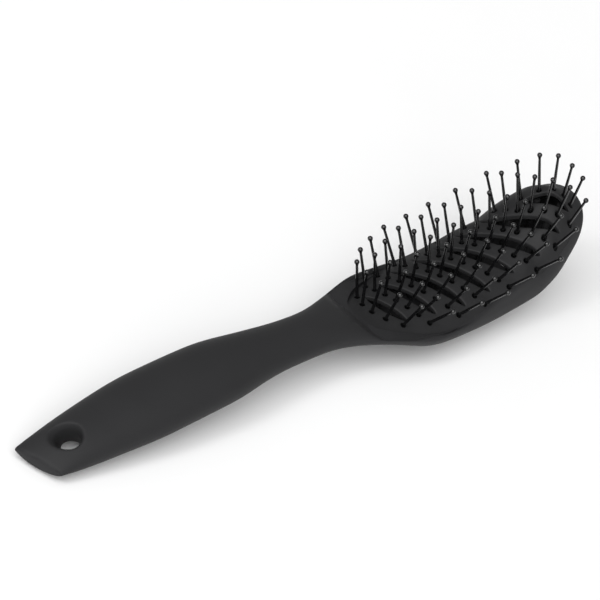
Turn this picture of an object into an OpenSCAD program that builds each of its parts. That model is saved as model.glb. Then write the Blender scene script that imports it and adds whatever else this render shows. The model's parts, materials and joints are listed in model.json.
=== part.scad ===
// Curved vented hair brush: two shells, a solid handle end, a slotted grille and nine strips of
// ball-tipped pins.
// The shape is drawn in the brush's own frame, with +X along the brush to the tip of the head and
// the pins along +Z, and is then laid on its back, as it rests on a table.

/* [Overall] */
// Length of the handle, from its end to where the head starts
handle_len = 144; // [120:1:175]
// Length of the head, from the handle to the tip
head_len = 100.5; // [84:0.5:122]
// Width of the handle where it is widest
handle_w = 25.2; // [20:0.2:30]
// Width of the neck
neck_w = 17.2; // [14:0.2:20.4]
// Width of the head where it is widest
head_w = 39; // [36:0.5:47]
// Height of the handle end above the pin field
handle_rise = 22; // [12:0.5:27]
// Thickness of the handle at its end
end_t = 4.6; // [4:0.2:7]
// Slant of the handle end
end_slant = 15; // [0:1:20]
// Bulge of the handle end
end_bulge = 2; // [0:0.2:3]

/* [Shells] */
// Height of the handle as a share of its width
handle_round = 0.62; // [0.55:0.01:0.75]
// Wall of the shells
wall = 1.4; // [1.3:0.1:1.9]
// Gap between the two shells along their joint
seam_gap = 0.1; // [0.05:0.05:0.2]
// Length of the solid handle end that carries the hang hole
end_block = 24; // [20:1:29]
// Length of the spigot by which the handle end plugs into the shells
spigot_len = 8; // [5:0.5:10]
// Gap around that spigot
spigot_gap = 0.15; // [0.1:0.05:0.25]
// Diameter of the hang hole
hang_d = 7.6; // [6.4:0.1:9.1]
// Distance from the handle end to the middle of the hang hole
hang_inset = 13.2; // [12:0.1:14.5]
// Lean of the hang hole's axis, from square towards the handle end at the front
hang_lean = 24; // [10:1:26]
// Diameter of the flared mouth of the hang hole
hang_mouth_d = 10.4; // [9:0.2:12]
// Depth of that flare
hang_flare = 2.6; // [1.8:0.1:2.8]
// Width of the rim left around the grille
rim_w = 1.65; // [1.65:0.05:3]
// Width of the lip that frames the grille below the rim
lip_w = 1; // [0.8:0.1:1.4]
// Gap between that lip and the back shell
lip_gap = 0.5; // [0.3:0.1:0.8]

/* [Vent grille] */
// Thickness of the grille plate
grille_t = 1.5; // [1.2:0.1:1.8]
// Radius of the crown across the grille
crown_r = 27; // [23:0.5:33]
// Gap between the grille and its frame
grille_gap = 0.15; // [0.1:0.05:0.25]
// Width of a vent slot at its middle
slot_w = 4; // [2.4:0.1:4.6]
// Width of a slot in the back at its middle
back_slot_w = 3; // [2:0.1:3.6]
// Reach of a slot in the back to either side
back_slot_reach = 4; // [3:0.1:4.2]
// Distance between two slots in the back
back_slot_pitch = 11.6; // [10:0.1:12.4]
// Diameter of the socket around each pin
socket_d = 2; // [1.8:0.1:2.4]

/* [Pins] */
// Length of a pin from the grille to the middle of its ball
pin_len = 14; // [11:0.5:17]
// Diameter of the ball at the tip
ball_d = 1.8; // [1.4:0.1:2]
// Diameter of the pin at its root
root_d = 1.3; // [0.9:0.05:1.3]
// Diameter of the pin below the flare that carries the ball
stem_d = 0.9; // [0.6:0.05:0.9]
// Length of the flare below the ball
flare_len = 1.2; // [0.8:0.1:1.8]
// Distance between two pins of a row, along the crown
pin_pitch = 4.37; // [3.7:0.01:5.2]
// Angle between two pins of a row
pin_fan = 8.4; // [7:0.1:10]
// Slant of the middle row
row_slant = 26.7; // [15:0.1:31]
// Thickness of the bar behind the grille that joins a row of pins
bar_t = 1; // [0.8:0.1:1.2]
// Width of that bar
bar_w = 2.4; // [2:0.1:2.8]
// Diameter of the boss that fills the socket at the root of each pin
boss_d = 1.6; // [1.4:0.1:1.7]
// Depth of the boss below the face of the grille
boss_drop = 0.6; // [0.1:0.1:0.8]
// Gap between a strip and what it lies against
strip_gap = 0.4; // [0.35:0.05:0.5]
// Diameter of the posts in the back shell that carry the strips
post_d = 2.6; // [2.2:0.1:3]

/* [Hidden] */

$fn = 24;
eps = 0.01;
coat = [0.2, 0.2, 0.21];
matte = [0.15, 0.15, 0.16];
nylon = [0.06, 0.06, 0.07];

// Rows of pins: place along the head as a share of its length, number of pins, slant as a share
// of row_slant, bow, spacing as a share of pin_pitch, turn between two pins as a share of pin_fan,
// lean of the middle of the row
rows = [
  [0.017, 5, 0.46, 1.1, 1.05, 1.09, -4.7],
  [0.133, 7, 0.52, 0.2, 0.97, 1.14, -5.6],
  [0.235, 8, 0.69, 0.15, 1, 1.04, -2.1],
  [0.344, 9, 0.81, 0.1, 0.94, 1.04, 0.8],
  [0.457, 9, 1, 0.1, 0.9, 1.03, 0.4],
  [0.578, 9, 1.19, 0.1, 0.895, 1.015, -0.7],
  [0.684, 8, 1.18, 0.1, 0.92, 0.99, 3.4],
  [0.773, 7, 1.23, 0.35, 0.85, 0.93, 7.8],
  [0.877, 5, 1.67, -1.5, 0.71, 0.9, 7.2]
];
// Reach of each vent slot to either side, as a share of half the head's width
slot_reach = [0.40, 0.53, 0.67, 0.66, 0.62, 0.64, 0.59, 0.33];
// How far the middle of each vent slot stands to the left, as a share of half the head's width
slot_middle = [-0.02, -0.02, 0, -0.01, 0, 0, 0, -0.08];

// A handle section: place, width as a share of the widest, level of its middle
function handle_at(s, w, z) =
  [s * handle_len, w * handle_w / 2, z * handle_rise,
   w * handle_w / 2 * handle_round, w * handle_w / 2 * handle_round, 2];
// A head section: place, half width as a share of the widest, level of the widest line,
// height above that line, depth below it, fullness of the arch above it
function head_at(s, w, z, up, down, full) = [s * head_len, w * head_w / 2, z, up, down, full];

// Sections along the brush, by x: [x, half width, level, height above, depth below, fullness]
sections = [
  [-1.00 * handle_len, 0.65 * handle_w / 2, 0.985 * handle_rise, end_t / 2, end_t / 2, 2],
  [-0.955 * handle_len, 0.72 * handle_w / 2, 0.985 * handle_rise, end_t, end_t, 2],
  handle_at(-0.91, 0.78, 0.98),
  handle_at(-0.83, 0.88, 0.96),
  handle_at(-0.69, 1.00, 0.895),
  handle_at(-0.51, 0.98, 0.775),
  handle_at(-0.37, 0.78, 0.64),
  [-0.27 * handle_len, neck_w / 2 + 0.2, 0.495 * handle_rise, 5.4, 5.4, 2],
  [-0.18 * handle_len, neck_w / 2, 0.37 * handle_rise, 4.7, 5.2, 2.3],
  [-0.10 * handle_len, neck_w / 2 + 2.3, 0.25 * handle_rise, 3.5, 5.0, 3.2],
  head_at(0.00, 0.80, 1.7, 1.8, 6.4, 2.6),
  head_at(0.16, 1.00, -4.1, 4.1, 8.7, 2),
  head_at(0.34, 0.965, -8.85, 9.5, 8.5, 2.1),
  head_at(0.52, 0.91, -12.6, 11.9, 8.2, 2.4),
  head_at(0.68, 0.905, -13.1, 15.8, 7.8, 2.1),
  head_at(0.78, 0.89, -10, 18.8, 7.7, 1.9),
  head_at(0.86, 0.86, -4.8, 17.4, 6.8, 1.6),
  head_at(0.93, 0.87, 0, 11.6, 7, 1.4),
  head_at(1.00, 0.89, 4.8, 5.1, 7, 2)
];
// Where the tip starts to close in plan, as a share of the head, and how full it stays
close_from = 0.58;
close_power = 3.84;
// Where the top of the tip starts to roll over, as a share of the head, and how full it stays
roll_from = 0.8;
roll_power = 2.2;

// Monotone curve through column c of the section list
function step_slope(t, i, c) = (t[i + 1][c] - t[i][c]) / (t[i + 1][0] - t[i][0]);
function knot_slope(t, i, c) =
  i == 0 ? step_slope(t, 0, c) :
  i == len(t) - 1 ? step_slope(t, i - 1, c) :
  step_slope(t, i - 1, c) * step_slope(t, i, c) <= 0 ? 0 :
  2 * step_slope(t, i - 1, c) * step_slope(t, i, c) / (step_slope(t, i - 1, c) + step_slope(t, i, c));
function span_of(t, x, i = 0) = i >= len(t) - 2 || x < t[i + 1][0] ? i : span_of(t, x, i + 1);
function hermite(a, b, ma, mb, d, u) =
  a * (1 + 2 * u) * (1 - u) * (1 - u) + ma * d * u * (1 - u) * (1 - u)
  + b * u * u * (3 - 2 * u) - mb * d * u * u * (1 - u);
function curve_in(t, x, c, i) =
  hermite(t[i][c], t[i + 1][c], knot_slope(t, i, c), knot_slope(t, i + 1, c),
          t[i + 1][0] - t[i][0], (x - t[i][0]) / (t[i + 1][0] - t[i][0]));
function curve(t, x, c) = curve_in(t, x, c, span_of(t, x));
function share(x, from) = min(1, max(0, (x - from * head_len) / (head_len * (1 - from))));
function plan_close(x) = sqrt(1 - pow(share(x, close_from), close_power));
function top_close(x) = sqrt(1 - pow(share(x, roll_from), roll_power));

// The body's outer surface
function half_w(x) = curve(sections, x, 1) * plan_close(x);
function level(x) = curve(sections, x, 2);
function up(x) = curve(sections, x, 3) * top_close(x);
function down(x) = curve(sections, x, 4) * plan_close(x);
function arch(y, w, n = 2) = pow(max(0, 1 - pow(abs(y) / w, n)), 1 / n);
function full(x) = curve(sections, x, 5);
function skin_top(x, y) = level(x) + up(x) * arch(y, half_w(x), full(x));

// The grille's surface: crowned across, dipping along the head over pin_dip and rising at its tip
pin_dip = 35;
function field_z(x) =
  let (v = min(x - 0.458 * head_len, 39 / 100.5 * head_len) / (pin_dip / 100.5 * head_len))
  5 * (0.5 * v * v + 0.969 * v * v * v + 0.582 * v * v * v * v);
function crown_drop(y) = crown_r - sqrt(crown_r * crown_r - y * y);
// The grille comes down to the shell at flush_at, at a slope of flush_ease, and flush_blend rounds
// the corner between the two
flush_at = 0.68 * head_len;
flush_ease = 0.17;
flush_blend = 0.7;
function grille_z(x, y) =
  let (z = field_z(x) - crown_drop(y))
  x < 0.5 * head_len ? z :
  let (s = skin_top(x, y) + flush_ease * max(0, flush_at - x))
  (z + s - sqrt(pow(z - s, 2) + pow(flush_blend, 2))) / 2;

// The grille's outline: a rounded nose at the handle, the rim along the sides, a rounded tip
grille_from = -0.047 * head_len;
grille_to = 0.94 * head_len;
grille_round = 0.82 * head_len;
nose_half = 1.5;
nose = [
  [grille_from, nose_half],
  [-0.035 * head_len, 0.16 * head_w],
  [0, 0.24 * head_w],
  [0.07 * head_len, 0.335 * head_w],
  [0.14 * head_len, 0.39 * head_w],
  [0.22 * head_len, 0.428 * head_w],
  [0.3 * head_len, 0.44 * head_w]
];
function tip_share(x) = max(0, (x - grille_round) / (grille_to - grille_round));
function grille_half(x) =
  min(curve(nose, min(x, 0.3 * head_len), 1), half_w(x) - rim_w)
  * sqrt(max(0.02, 1 - pow(tip_share(x), 3)));

// Vertical drop that leaves a thickness t below the grille's sloping face
probe = 0.2;
function slope_x(x, y) = (grille_z(x + probe, y) - grille_z(x - probe, y)) / (2 * probe);
function slope_y(x, y) = (grille_z(x, y + probe) - grille_z(x, y - probe)) / (2 * probe);
max_stretch = 1.6;
function below(x, y, t) =
  grille_z(x, y) - t * min(max_stretch, sqrt(1 + pow(slope_x(x, y), 2) + pow(slope_y(x, y), 2)));

// A closed solid between an upper and a lower grid of points, given station by station
function slab_points(upper, lower) = concat([for (r = upper) each r], [for (r = lower) each r]);
function quad(a, b, c, d) = [[a, c, b], [a, d, c]];
function wall_a(m, low, i, k) =
  quad(i * m + k, (i + 1) * m + k, low + (i + 1) * m + k, low + i * m + k);
function wall_b(m, low, i, k) =
  quad((i + 1) * m + k, i * m + k, low + i * m + k, low + (i + 1) * m + k);
function cap_a(m, low, i, k) =
  quad(i * m + k + 1, i * m + k, low + i * m + k, low + i * m + k + 1);
function cap_b(m, low, i, k) =
  quad(i * m + k, i * m + k + 1, low + i * m + k + 1, low + i * m + k);
// w is a window through the slab, [first station, last station, first column, last column]
function in_window(w, i, k) = i >= w[0] && i < w[1] && k >= w[2] && k < w[3];
function slab_faces(n, m, w) =
  let (low = n * m)
  concat(
    [for (i = [0:n - 2]) for (k = [0:m - 2]) if (!in_window(w, i, k))
      each quad(i * m + k, i * m + k + 1, (i + 1) * m + k + 1, (i + 1) * m + k)],
    [for (i = [0:n - 2]) for (k = [0:m - 2]) if (!in_window(w, i, k))
      each quad(low + i * m + k, low + (i + 1) * m + k, low + (i + 1) * m + k + 1, low + i * m + k + 1)],
    [for (i = [0:n - 2]) each concat(wall_a(m, low, i, 0), wall_b(m, low, i, m - 1))],
    [for (k = [0:m - 2]) each concat(cap_a(m, low, 0, k), cap_b(m, low, n - 1, k))],
    [for (i = [0:n - 2]) if (in_window(w, i, w[2]))
      each concat(wall_b(m, low, i, w[2]), wall_a(m, low, i, w[3]))],
    [for (k = [0:m - 2]) if (in_window(w, w[0], k))
      each concat(cap_b(m, low, w[0], k), cap_a(m, low, w[1], k))]
  );
no_window = [0, 0, 0, 0];
module slab(upper, lower, w = no_window)
  polyhedron(slab_points(upper, lower), slab_faces(len(upper), len(upper[0]), w), convexity = 8);

// Stations along the body, closer together at the tip
block_at = end_block - handle_len;
tip_at = 0.992;
solid_tip = 0.955;
tip_relief = 0.3;
block_steps = 5;
handle_steps = 20;
plan_steps = 26;
tip_steps = 7;
function plan_x(i, gap) =
  grille_from + gap + (grille_to - grille_from - 2 * gap) * (1 - cos(180 * i / plan_steps)) / 2;
function handle_stations(from) =
  [for (i = [0:handle_steps - 1]) from + (grille_from - from) * i / handle_steps];
head_stations = concat(
  [for (i = [0:plan_steps]) plan_x(i, 0)],
  [for (i = [1:tip_steps]) grille_to + (tip_at * head_len - grille_to) * sin(90 * i / tip_steps)]
);
block_stations = [for (i = [0:block_steps]) -handle_len + end_block * i / block_steps];
shell_stations = concat(handle_stations(block_at + seam_gap), head_stations);
spigot_steps = 2;
spigot_overlap = 2;
spigot_stations = [for (i = [0:spigot_steps])
  block_at - spigot_overlap + (spigot_len + spigot_overlap) * i / spigot_steps];

// Columns across a section: flanks by angle, the middle by width
flank_steps = 5;
middle_steps = 8;
columns = 2 * flank_steps + middle_steps;
function edge_y(x) =
  x > grille_from ? grille_half(min(x, grille_to)) :
  nose_half + (half_w(x) / 2 - nose_half) * min(1, (grille_from - x) / 10);
function column_y(k, w, e) =
  k < flank_steps ? w * cos(acos(e / w) * k / flank_steps) :
  k > columns - flank_steps ? -column_y(columns - k, w, e) :
  e * (1 - 2 * (k - flank_steps) / middle_steps);
function outer_y(x, k) = column_y(k, half_w(x), min(edge_y(x), 0.93 * half_w(x)));
function inner_w(x) = half_w(x) - wall;
function inner_y(x, k) = column_y(k, inner_w(x), min(edge_y(x), 0.985 * inner_w(x)));

function is_solid(x) = x > solid_tip * head_len;
function at_grille(x) = x > grille_from - 2 * lip_w;

// How far the slanted, bulging handle end moves a point of a section, fading out at the block
function end_fade(x) = pow(max(0, (block_at - x) / end_block), 2);
function end_move(x, y) =
  -(y * tan(end_slant) + end_bulge * (1 - pow(y / half_w(x), 2))) * end_fade(x);

// Handle end: the whole section in one piece, and the spigot that plugs into the shells
function end_top(x) =
  [for (k = [0:columns]) let (y = outer_y(x, k))
    [x + end_move(x, y), y, level(x) + seam_gap / 2 + up(x) * arch(y, half_w(x))]];
function end_bottom(x) =
  [for (k = [0:columns]) let (y = outer_y(x, k))
    [x + end_move(x, y), y, level(x) - seam_gap / 2 - down(x) * arch(y, half_w(x))]];
spigot_columns = 10;
function spigot_side(x, rise) =
  [for (k = [0:spigot_columns])
    let (w = inner_w(x) - spigot_gap, y = w * cos(180 * k / spigot_columns))
    [x, y, level(x) + sign(rise) * (seam_gap / 2 + (abs(rise) - wall - spigot_gap) * arch(y, w))]];

// Front shell: the outer arch above the joint, the inner arch or the solid tip below it
function front_outer(x) =
  [for (k = [0:columns]) let (y = outer_y(x, k))
    [x, y, level(x) + seam_gap / 2 + up(x) * arch(y, half_w(x), full(x))]];
function front_inside(x, y) =
  let (
    z = level(x) + seam_gap / 2 + (up(x) - wall) * arch(y, inner_w(x), full(x)),
    floor_z = level(x) + seam_gap / 2 - (down(x) - wall - lip_gap) * arch(y, inner_w(x) - lip_gap)
  )
  at_grille(x) && abs(y) <= edge_y(x) + lip_w ? min(z, max(floor_z, below(x, y, grille_t))) : z;
function front_inner(x) =
  is_solid(x) ?
    [for (k = [0:columns]) let (y = outer_y(x, k) * 0.98)
      [x, y, level(x) + seam_gap / 2 + tip_relief * arch(y, half_w(x))]] :
    [for (k = [0:columns]) let (y = inner_y(x, k)) [x, y, front_inside(x, y)]];

// Back shell: the outer arch below the joint and the inner arch above it
function back_outer(x) =
  [for (k = [0:columns]) let (y = outer_y(x, k))
    [x, y, level(x) - seam_gap / 2 - down(x) * arch(y, half_w(x))]];
function back_inner(x) =
  is_solid(x) ?
    [for (k = [0:columns]) let (y = outer_y(x, k) * 0.98)
      [x, y, level(x) - seam_gap / 2 - tip_relief * arch(y, half_w(x))]] :
    [for (k = [0:columns]) let (y = column_y(k, inner_w(x), 0.5 * inner_w(x)))
      [x, y, level(x) - seam_gap / 2 - (down(x) - wall) * arch(y, inner_w(x))]];

// Columns across the grille, shrunk by a gap
plan_columns = 12;
function plan_y(i, k, gap) = (grille_half(plan_x(i, 0)) - gap) * (1 - 2 * k / plan_columns);

// Rows of pins and the slots between them
function slanted(x, y, angle, bow) = x - tan(angle) * y + bow * y * y / 20;
function row_x(r, y) = slanted(rows[r][0] * head_len, y, rows[r][2] * row_slant, rows[r][3]);
function pin_turn(r, j) = j - (rows[r][1] - 1) / 2;
function pin_y(r, j) =
  crown_r * sin(pin_turn(r, j) * rows[r][4] * pin_pitch / crown_r * 180 / PI);
function slot_half(u, w) = w / 2 * pow(max(0, 1 - u * u), 0.6);
slot_steps = 8;
function between(s, c) = (rows[s][c] + rows[s + 1][c]) / 2;
function slot_side(s, at, mid, w, reach, side) =
  [for (i = [0:slot_steps])
    let (
      u = side * (1 - 2 * i / slot_steps),
      y = mid + u * reach,
      angle = between(s, 2) * row_slant,
      x = slanted(at, y, angle, between(s, 3) / 2)
    )
    [x + side * slot_half(u, w) / cos(angle), y]];
function slot_outline(s, at, mid, w, reach) = concat(
  slot_side(s, at, mid, w, reach, 1),
  [for (p = slot_side(s, at, mid, w, reach, -1)) if (abs(p.y - mid) < 0.999 * reach) p]
);
module slot(s, at, mid, w, reach)
  translate([0, 0, -60])
    linear_extrude(120)
      polygon(slot_outline(s, at, mid, w, reach));
module grille_slots()
  for (s = [0:len(slot_reach) - 1])
    let (half = head_w / 2)
    slot(s, between(s, 0) * head_len, slot_middle[s] * half, slot_w, slot_reach[s] * half);
// The slots in the back are short and stand clear of the posts
back_slots = 7;
back_slots_from = 0.066 * head_len;
module back_slots()
  for (s = [0:back_slots - 1])
    slot(s, back_slots_from + s * back_slot_pitch, 0, back_slot_w, back_slot_reach);

// The hang hole, with its flared mouths
hang_x = hang_inset - handle_len;
mouth_taper = (hang_mouth_d - hang_d) / 2;
module hang_hole()
  translate([hang_x, 0, level(hang_x)])
    rotate([0, -hang_lean, 0]) {
      cylinder(h = 40, d = hang_d, center = true);
      for (side = [0, 180])
        rotate([side, 0, 0])
          translate([0, 0, up(hang_x) - 1.5 * hang_flare])
            cylinder(h = 2.5 * hang_flare, d1 = hang_d - mouth_taper, d2 = hang_d + 4 * mouth_taper);
    }

// Lays the brush on its back, centred, with its lowest point at zero
function laid(p, a) = [p.x * cos(a) - p.z * sin(a), p.x * sin(a) + p.z * cos(a)];
rest_tilt = atan((level(-handle_len) - down(-handle_len) - level(0.45 * head_len)
  + down(0.45 * head_len)) / (handle_len + 0.45 * head_len));
body_laid = concat(
  [for (x = block_stations) for (p = concat(end_top(x), end_bottom(x))) laid(p, rest_tilt)],
  [for (x = shell_stations) for (p = concat(front_outer(x), back_outer(x))) laid(p, rest_tilt)]
);
laid_x = [for (p = body_laid) p.x];
laid_z = [for (p = body_laid) p.y];
module rest()
  translate([-(min(laid_x) + max(laid_x)) / 2, 0, -min(laid_z)])
    rotate([0, -rest_tilt, 0])
      children();

module handle_end() color(coat) rest() difference() {
  union() {
    slab([for (x = block_stations) end_top(x)], [for (x = block_stations) end_bottom(x)]);
    slab(
      [for (x = spigot_stations) spigot_side(x, up(x))],
      [for (x = spigot_stations) spigot_side(x, -down(x))]
    );
  }
  hang_hole();
}

window = [handle_steps, handle_steps + plan_steps, flank_steps, columns - flank_steps];
module front_shell() color(coat) rest()
  slab([for (x = shell_stations) front_outer(x)], [for (x = shell_stations) front_inner(x)], window);

// Posts that stand on the back shell and carry the strips, two to a row
post_share = 0.5;
function post_y(r, side) = side * post_share * pin_y(r, rows[r][1] - 1);
module posts()
  for (r = [0:len(rows) - 1])
    for (side = [-1, 1])
      let (
        y = post_y(r, side),
        x = row_x(r, y),
        foot = level(x) - down(x) * arch(y, half_w(x)) + wall / 2,
        head = below(x, y, grille_t + 2 * strip_gap + bar_t)
          - post_d / 2 * norm([slope_x(x, y), slope_y(x, y)])
      )
      translate([x, y, foot])
        cylinder(h = head - foot, d = post_d);

module back_shell() color(coat) rest() {
  difference() {
    slab([for (x = shell_stations) back_inner(x)], [for (x = shell_stations) back_outer(x)]);
    back_slots();
  }
  posts();
}

module vent_grille() color(matte) rest() difference() {
  slab(
    [for (i = [0:plan_steps]) let (x = plan_x(i, 2 * grille_gap))
      [for (k = [0:plan_columns]) let (y = plan_y(i, k, grille_gap)) [x, y, grille_z(x, y)]]],
    [for (i = [0:plan_steps]) let (x = plan_x(i, 2 * grille_gap))
      [for (k = [0:plan_columns]) let (y = plan_y(i, k, grille_gap)) [x, y, below(x, y, grille_t)]]]
  );
  grille_slots();
  for (r = [0:len(rows) - 1])
    for (j = [0:rows[r][1] - 1])
      at_pin(r, j)
        cylinder(h = 12, d = socket_d, center = true);
}

// Places its children at the root of pin j of row r, with +Z along the pin
module at_pin(r, j) {
  y = pin_y(r, j);
  x = row_x(r, y);
  translate([x, y, grille_z(x, y)])
    rotate([-pin_turn(r, j) * pin_fan * rows[r][5] - rows[r][6], 0, 0])
      children();
}
module pin() {
  foot = grille_t + strip_gap + bar_t / 2;
  translate([0, 0, -foot])
    cylinder(h = foot - boss_drop, d = boss_d);
  translate([0, 0, -boss_drop - eps])
    cylinder(h = pin_len - flare_len + boss_drop + eps, d1 = root_d, d2 = stem_d);
  translate([0, 0, pin_len - flare_len - eps])
    cylinder(h = flare_len, d1 = stem_d, d2 = 0.85 * ball_d);
  translate([0, 0, pin_len])
    sphere(d = ball_d);
}
// The bar behind the grille, from just outside the first pin to just outside the last
bar_over = 0.2;
bar_steps = 12;
function bar_y(r, i) =
  pin_y(r, -bar_over) + (pin_y(r, rows[r][1] - 1 + bar_over) - pin_y(r, -bar_over)) * i / bar_steps;
function bar_grid(r, t) =
  [for (i = [0:bar_steps]) let (y = bar_y(r, i))
    [for (side = [1, -1]) let (x = row_x(r, y) - side * bar_w / 2)
      [x, y, below(x, y, t)]]];
module strip(r) color(nylon) rest() {
  slab(bar_grid(r, grille_t + strip_gap), bar_grid(r, grille_t + strip_gap + bar_t));
  for (j = [0:rows[r][1] - 1])
    at_pin(r, j)
      pin();
}

handle_end();
front_shell();
back_shell();
vent_grille();
strip(0);  // pin_strip_1
strip(1);  // pin_strip_2
strip(2);  // pin_strip_3
strip(3);  // pin_strip_4
strip(4);  // pin_strip_5
strip(5);  // pin_strip_6
strip(6);  // pin_strip_7
strip(7);  // pin_strip_8
strip(8);  // pin_strip_9
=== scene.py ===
"""Curved vented hair brush: soft-touch handle, crowned plate and nine rows of ball-tipped pins."""

import json
import math

import bmesh
import bpy
import numpy as np
from bpy.props import FloatProperty, FloatVectorProperty, PointerProperty
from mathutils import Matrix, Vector
from mathutils.geometry import delaunay_2d_cdt

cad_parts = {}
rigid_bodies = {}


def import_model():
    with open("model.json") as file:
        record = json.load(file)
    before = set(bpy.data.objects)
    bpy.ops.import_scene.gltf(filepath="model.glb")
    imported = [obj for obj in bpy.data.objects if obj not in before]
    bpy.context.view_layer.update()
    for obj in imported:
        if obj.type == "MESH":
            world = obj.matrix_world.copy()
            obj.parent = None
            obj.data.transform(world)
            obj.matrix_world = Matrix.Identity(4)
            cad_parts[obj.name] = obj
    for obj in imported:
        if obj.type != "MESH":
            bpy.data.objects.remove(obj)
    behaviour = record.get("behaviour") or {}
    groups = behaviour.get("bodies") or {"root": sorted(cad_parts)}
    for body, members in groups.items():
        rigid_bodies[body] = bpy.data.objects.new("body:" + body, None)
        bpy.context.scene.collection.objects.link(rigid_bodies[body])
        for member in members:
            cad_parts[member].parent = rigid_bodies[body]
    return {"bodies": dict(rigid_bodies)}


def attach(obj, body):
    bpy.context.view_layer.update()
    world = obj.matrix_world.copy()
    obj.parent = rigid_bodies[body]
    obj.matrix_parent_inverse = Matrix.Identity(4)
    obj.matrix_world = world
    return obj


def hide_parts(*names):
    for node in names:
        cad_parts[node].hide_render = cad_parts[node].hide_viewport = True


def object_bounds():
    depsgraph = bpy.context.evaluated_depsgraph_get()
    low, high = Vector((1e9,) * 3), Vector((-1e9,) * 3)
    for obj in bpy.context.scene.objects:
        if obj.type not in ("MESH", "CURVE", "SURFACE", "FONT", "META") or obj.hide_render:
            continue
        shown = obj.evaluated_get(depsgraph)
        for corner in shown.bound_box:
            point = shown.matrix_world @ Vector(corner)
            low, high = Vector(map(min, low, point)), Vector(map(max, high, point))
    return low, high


bl_info = {
    "name": "Curved vent brush",
    "version": (1, 0, 0),
    "blender": (4, 5, 0),
    "location": "View3D > Sidebar > Brush",
    "description": "Builds a curved vented hair brush with ball-tipped pins",
    "category": "Object",
}

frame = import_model()
CAD_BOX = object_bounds()
BODY = sorted(frame["bodies"])[0]
MM = 0.001

# Lengths below are in millimetres along the brush, as the maker draws it: x runs from the start of
# the head (0) to its tip, and back along the handle (negative). place() lays the brush on its back.
HANDLE_LENGTH = 144.0
HEAD_LENGTH = 100.5
END_BLOCK = 24.0    # length of the handle end, up to where it meets the two shells
HANG_INSET = 13.2    # from the end of the handle to the middle of the hang hole
HANDLE_END = -HANDLE_LENGTH
BLOCK_AT = HANDLE_END + END_BLOCK
TIP_END = 0.992 * HEAD_LENGTH
LAY_TILT = math.radians(11.7288)
LAY_SHIFT = (25.6083, 11.6756)

# The handle's end is cut at a slant and bulges a little. The hang hole's axis leans towards it at
# the front.
END_SLANT = math.radians(15)
END_BULGE = 0.7
HANG_AT = HANG_INSET + HANDLE_END
HANG_LEAN = math.radians(24)
MOUTH_RUN_OUT = 0.2    # how far the dish round the hang hole runs out past its mouth

# How far the front shell lies above the joint line and the back shell below it, so that their faces
# never coincide
STAND_OFF = 0.02

# Sections along the brush: x, half width, level of the widest line, height above it, depth below
# it, fullness of the arch above it
SECTIONS = np.array([
    (-144.0, 8.19, 21.67, 2.3, 2.3, 2),
    (-137.5, 9.07, 21.67, 4.6, 4.6, 2),
    (-131.0, 9.83, 21.56, 6.09, 6.09, 2),
    (-119.5, 11.09, 21.12, 6.87, 6.87, 2),
    (-99.4, 12.6, 19.69, 7.81, 7.81, 2),
    (-73.4, 12.35, 17.05, 7.66, 7.66, 2),
    (-53.3, 9.83, 14.08, 6.09, 6.09, 2),
    (-38.9, 8.8, 10.89, 5.4, 5.4, 2),
    (-25.9, 8.6, 8.14, 4.7, 5.2, 2.3),
    (-14.4, 10.9, 5.5, 3.5, 5.0, 3.2),
    (0.0, 15.6, 1.7, 1.8, 6.4, 2.6),
    (16.1, 19.5, -4.1, 4.1, 8.7, 2),
    (34.2, 18.82, -8.85, 9.5, 8.5, 2.1),
    (52.3, 17.75, -12.6, 11.9, 8.2, 2.4),
    (68.3, 17.65, -13.1, 15.8, 7.8, 2.1),
    (78.4, 17.36, -10.0, 18.8, 7.7, 1.9),
    (86.4, 16.77, -4.8, 17.4, 6.8, 1.6),
    (93.5, 16.97, 0.0, 11.6, 7.0, 1.4),
    (100.5, 17.36, 4.8, 5.1, 7.0, 2),
])

# Rows of pins: place, number of pins, slant in degrees, bow, spacing along the crown, turn between
# two pins, lean of the middle of the row
ROWS = (
    (1.71, 5, 12.3, 1.1, 4.589, 9.16, -4.7),
    (13.37, 7, 13.9, 0.2, 4.239, 9.58, -5.6),
    (23.62, 8, 18.4, 0.15, 4.37, 8.74, -2.1),
    (34.57, 9, 21.6, 0.1, 4.108, 8.74, 0.8),
    (45.93, 9, 26.7, 0.1, 3.933, 8.65, 0.4),
    (58.09, 9, 31.8, 0.1, 3.911, 8.53, -0.7),
    (68.74, 8, 31.5, 0.1, 4.02, 8.32, 3.4),
    (77.69, 7, 32.8, 0.35, 3.715, 7.81, 7.8),
    (88.14, 5, 44.6, -1.5, 3.103, 7.56, 7.2),
)
# Vent slots, each between two rows: reach to either side of the middle, and place of the middle
SLOTS = (
    (7.8, -0.39), (10.34, -0.39), (13.07, 0), (12.87, -0.2),
    (12.09, 0), (12.48, 0), (11.51, 0), (6.44, -1.56),
)
BOW_SCALE = 20          # a row's bow moves a pin along the brush by bow * y * y / BOW_SCALE
SLOT_ROUNDNESS = 0.6    # 0.5 would make a slot an ellipse, 1 a lens with sharp ends

# Slots in the back shell: place of the first, step to the next, number, reach to either side
BACK_SLOT_START, BACK_SLOT_STEP, BACK_SLOT_COUNT, BACK_SLOT_REACH = 6.63, 11.6, 7, 4.0

# Posts of the back shell: how far out along the row, how far below the plate they end, radius
POST_SHARE, POST_DROP, POST_RADIUS = 0.5, 2.6, 1.3

CURL_FROM = 64.0    # where the head starts to curl up
SOFTENED = 8        # length to either side over which a section's curve is softened

# Where the outline and the top of the skin start to close towards the tip, and how squarely
OUTLINE_CLOSES = (58.3, 4.2)
TOP_CLOSES = (80.4, 2.35)

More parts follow.
